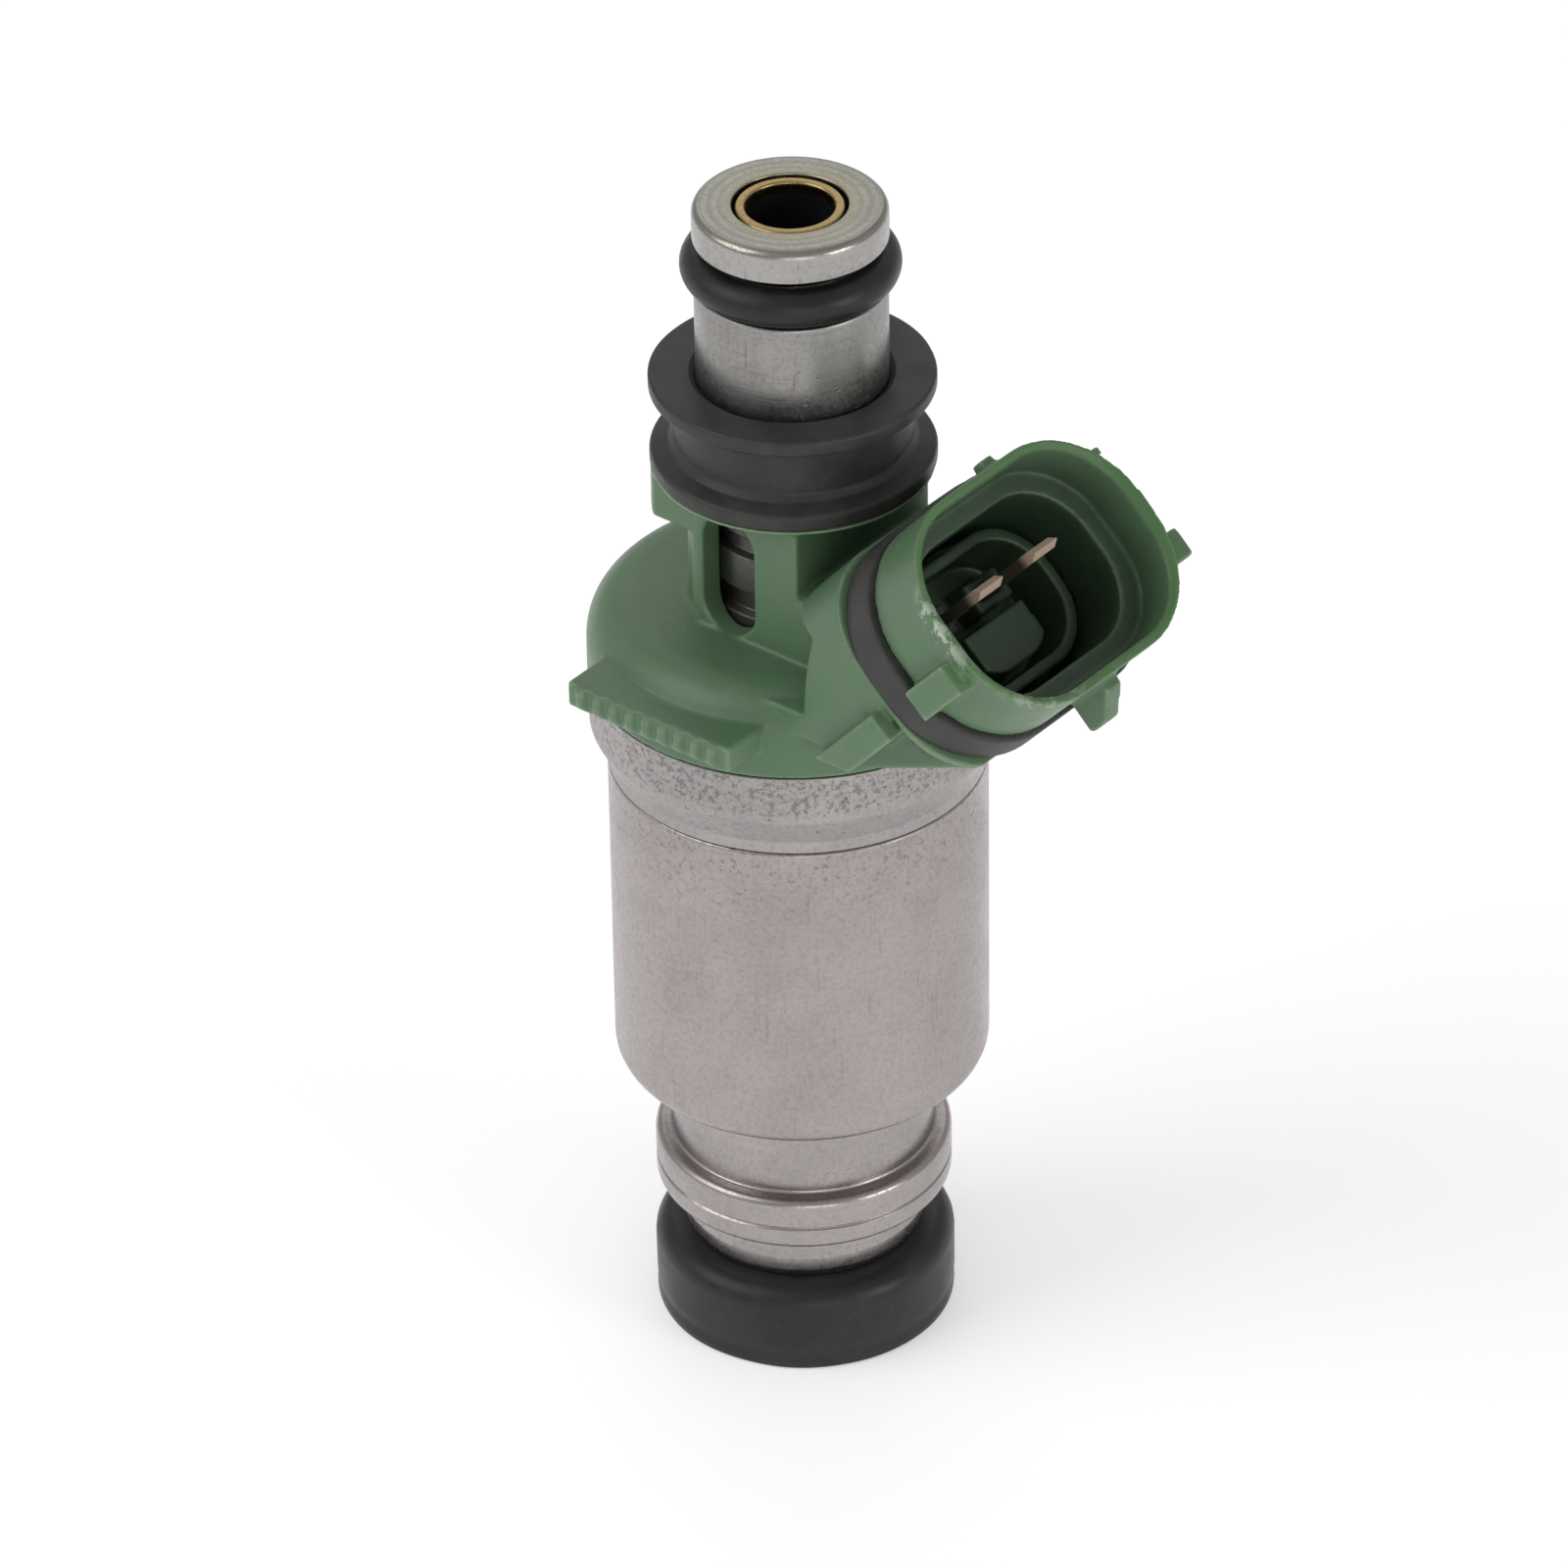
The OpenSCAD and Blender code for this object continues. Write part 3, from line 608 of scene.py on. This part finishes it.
def turn_steel():
    """The collar under the moulding, the housing and the nozzle holder with its bead."""
    joint, top = low("yoke_collar"), high("yoke_collar")
    wide = radius("yoke_collar")
    wall = radius("main_housing")
    bore, recess, shelf = 4.72, 10.15, 39.6
    lathe("yoke_collar", rounded([
        (bore, joint, 0), (wall, joint, 0.16), (wall, 38.3, 0.5), (wide, 40.2, 0.5),
        (wide, top, 0.12), (recess, top, 0.05), (recess, shelf, 0), (bore, shelf, 0)]))
    foot, top = low("main_housing"), high("main_housing")
    coil_room, coil_seat = 9.7, 21.6
    collar, shoulder = 7.85, 17.2
    bore, holder_bore, holder_stop = 4.77, 6.32, 20.02
    lathe("main_housing", rounded([
        (coil_room, coil_seat, 0), (coil_room, top, 0.1), (wall, top, 0.2), (wall, shoulder, 2.9),
        (collar, shoulder, 0.05), (collar, foot, 0.15), (holder_bore, foot, 0),
        (holder_bore, holder_stop, 0), (bore, holder_stop, 0), (bore, coil_seat, 0)]))
    bead = radius("nozzle_holder")
    foot, top = 2.1, 20
    tip, neck, shank = 5.95, 7.57, 6.3
    ring_groove = 5.55
    bore, stop_bore, stop = 5.25, 4.06, 16.82
    lathe("nozzle_holder", rounded([
        (bore, foot, 0), (tip, foot, 0.25), (tip, 5.32, 0), (6.7, 5.32, 0.15), (7, 5.9, 0.3),
        (7.12, 6.8, 0.5), (7.12, 8.35, 0.15), (7.35, 8.5, 0.06), (bead, 8.5, 0.95),
        (bead, 9.86, 0.05), (bead - 0.14, 10, 0.04), (bead, 10.14, 0.05), (bead, 11.85, 1.15),
        (neck, 11.85, 0.2), (neck, 15.68, 0.03), (neck - 0.09, 15.78, 0.03),
        (neck, 15.88, 0.03), (neck, 16.6, 0.12), (shank, 16.6, 0), (shank, 17.5, 0),
        (ring_groove, 17.5, 0), (ring_groove, 18.5, 0), (shank, 18.5, 0), (shank, top, 0.2),
        (stop_bore, top, 0.1), (stop_bore, stop, 0), (bore, stop, 0)]))


turn_inlet()
turn_rings()
turn_steel()


# ---------- moulded pieces ----------

def softened(node, voxel, rounds, faces):
    """Fine copy of a CAD node's mesh whose edges are rounded, with at most this many faces."""
    piece = bpy.data.objects.new(node + "_moulded", cad[node].data.copy())
    bpy.context.scene.collection.objects.link(piece)
    remesh = piece.modifiers.new("remesh", "REMESH")
    remesh.mode = "VOXEL"
    remesh.voxel_size = voxel * MM
    smooth = piece.modifiers.new("smooth", "SMOOTH")
    smooth.factor = 0.5
    smooth.iterations = rounds
    bpy.context.view_layer.update()
    view = bpy.context.evaluated_depsgraph_get()
    triangles = 2 * len(piece.evaluated_get(view).data.polygons)
    if triangles > faces:
        fewer = piece.modifiers.new("fewer", "DECIMATE")
        fewer.ratio = faces / triangles
    view = bpy.context.evaluated_depsgraph_get()
    mesh = bpy.data.meshes.new_from_object(piece.evaluated_get(view))
    bpy.data.objects.remove(piece)
    mesh.shade_smooth()
    return bpy.data.objects.new(node + "_moulded", mesh)


def gather(mesh):
    """Vertex places in millimetres, vertex normals and edges, as arrays."""
    count = len(mesh.vertices)
    places = np.empty(count * 3)
    mesh.vertices.foreach_get("co", places)
    normals = np.empty(count * 3)
    mesh.vertices.foreach_get("normal", normals)
    edges = np.empty(len(mesh.edges) * 2, dtype=np.int64)
    mesh.edges.foreach_get("vertices", edges)
    return places.reshape(-1, 3) / MM, normals.reshape(-1, 3), edges.reshape(-1, 2)


def average_over_edges(values, edges):
    """Each vertex takes the mean of its neighbours' values."""
    count = len(values)
    total = np.zeros(count)
    number = np.zeros(count)
    for a, b in ((0, 1), (1, 0)):
        total += np.bincount(edges[:, a], values[edges[:, b]], minlength=count)
        number += np.bincount(edges[:, a], minlength=count)
    return total / np.maximum(number, 1)


def bend_of(mesh):
    """How convex the surface is at each vertex, about -1 to 1."""
    places, normals, edges = gather(mesh)
    count = len(places)
    bend = np.zeros(count)
    number = np.zeros(count)
    for a, b in ((0, 1), (1, 0)):
        along = places[edges[:, b]] - places[edges[:, a]]
        along /= np.linalg.norm(along, axis=1, keepdims=True) + 1e-9
        slope = -(along * normals[edges[:, a]]).sum(axis=1)
        bend += np.bincount(edges[:, a], slope, minlength=count)
        number += np.bincount(edges[:, a], minlength=count)
    bend /= np.maximum(number, 1)
    for _ in range(3):
        bend = 0.5 * bend + 0.5 * average_over_edges(bend, edges)
    return bend


def store(mesh, name, values):
    """Keeps a value from 0 to 1 at each vertex, for the material."""
    layer = mesh.attributes.new(name, "FLOAT", "POINT")
    layer.data.foreach_set("value", np.clip(values, 0, 1).astype(np.float32))


def step(values, start, end):
    """Goes smoothly from 0 at start to 1 at end."""
    t = np.clip((values - start) / (end - start), 0, 1)
    return t * t * (3 - 2 * t)


# half sizes of the socket's room, at its mouth
ROOM_UNDER = 6.1
ROOM_ACROSS = 8.3
LIP_DEPTH = 1.6

# worn patches of the lip: strength, then middle and half size under, across and deep
SCUFFS = (
    (1.2, (-1.2, -9, 0.25), (2.6, 0.7, 0.45)),
    (0.7, (5.2, -5.5, 0.2), (1.4, 2.5, 0.4)),
)


def mould_body():
    """The moulding, which knows where its edges, hollows, lip, socket and scuffs are."""
    piece = softened("connector_body", voxel=0.13, rounds=7, faces=190000)
    mesh = piece.data
    places, normals, _ = gather(mesh)
    local = places - np.array(MOUTH)
    depth = -local @ np.array(OUTWARD)
    under = local @ np.array(UNDER)
    across = places[:, 1]
    bend = bend_of(mesh)
    # convex edges, paled as wear and as painted highlight
    store(mesh, "edge", step(bend, 0.04, 0.17))
    # painted shade in the concave creases
    store(mesh, "painted_crease_shade", step(-bend, 0.05, 0.2))
    # painted shade on the outward-facing lip of the socket
    facing_out = normals @ np.array(OUTWARD)
    store(mesh, "rim", step(LIP_DEPTH - depth, 0, 1.2) * step(facing_out, 0.2, 0.8))
    oval = np.abs(under / ROOM_UNDER) ** 4 + np.abs(across / ROOM_ACROSS) ** 4
    facing_away = under * (normals @ np.array(UNDER)) + across * normals[:, 1] > 0
    outer_skin = facing_away & (oval > 0.6)
    room = (oval < 1) & (depth < SOCKET_DEPTH + 0.1) & ~outer_skin
    # painted shade down the socket, stronger with depth
    store(mesh, "inside", step(depth, 0.1, 4.2) * room)
    in_socket = np.stack((under, across, depth), axis=1)
    scuff = np.zeros(len(places))
    for strength, middle, size in SCUFFS:
        scuff += strength * np.exp(-(((in_socket - middle) / size) ** 2).sum(axis=1))
    store(mesh, "scuff", scuff)
    stand_for(piece, "connector_body")


def mould_seal():
    stand_for(softened("connector_seal", voxel=0.12, rounds=12, faces=60000), "connector_seal")


mould_body()
mould_seal()


# ---------- small pieces that keep their CAD shape ----------

def ease_edges(node, width):
    """Takes the sharpness off a CAD node's edges."""
    bevel = cad[node].modifiers.new("eased_edges", "BEVEL")
    bevel.width = width * MM
    bevel.segments = 3
    bevel.limit_method = "ANGLE"
    bevel.angle_limit = math.radians(35)


for name in ("terminal_front", "terminal_rear"):
    ease_edges(name, 0.12)


# ---------- return spring ----------


def shortening_spring():
    """Copy of the return spring, whose upper end is fixed, in place of the CAD spring."""
    spring = bpy.data.objects.new("return_spring_wound", cad["return_spring"].data.copy())
    spring.matrix_world = cad["return_spring"].matrix_world
    stand_for(spring, "return_spring")
    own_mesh(spring)


shortening_spring()
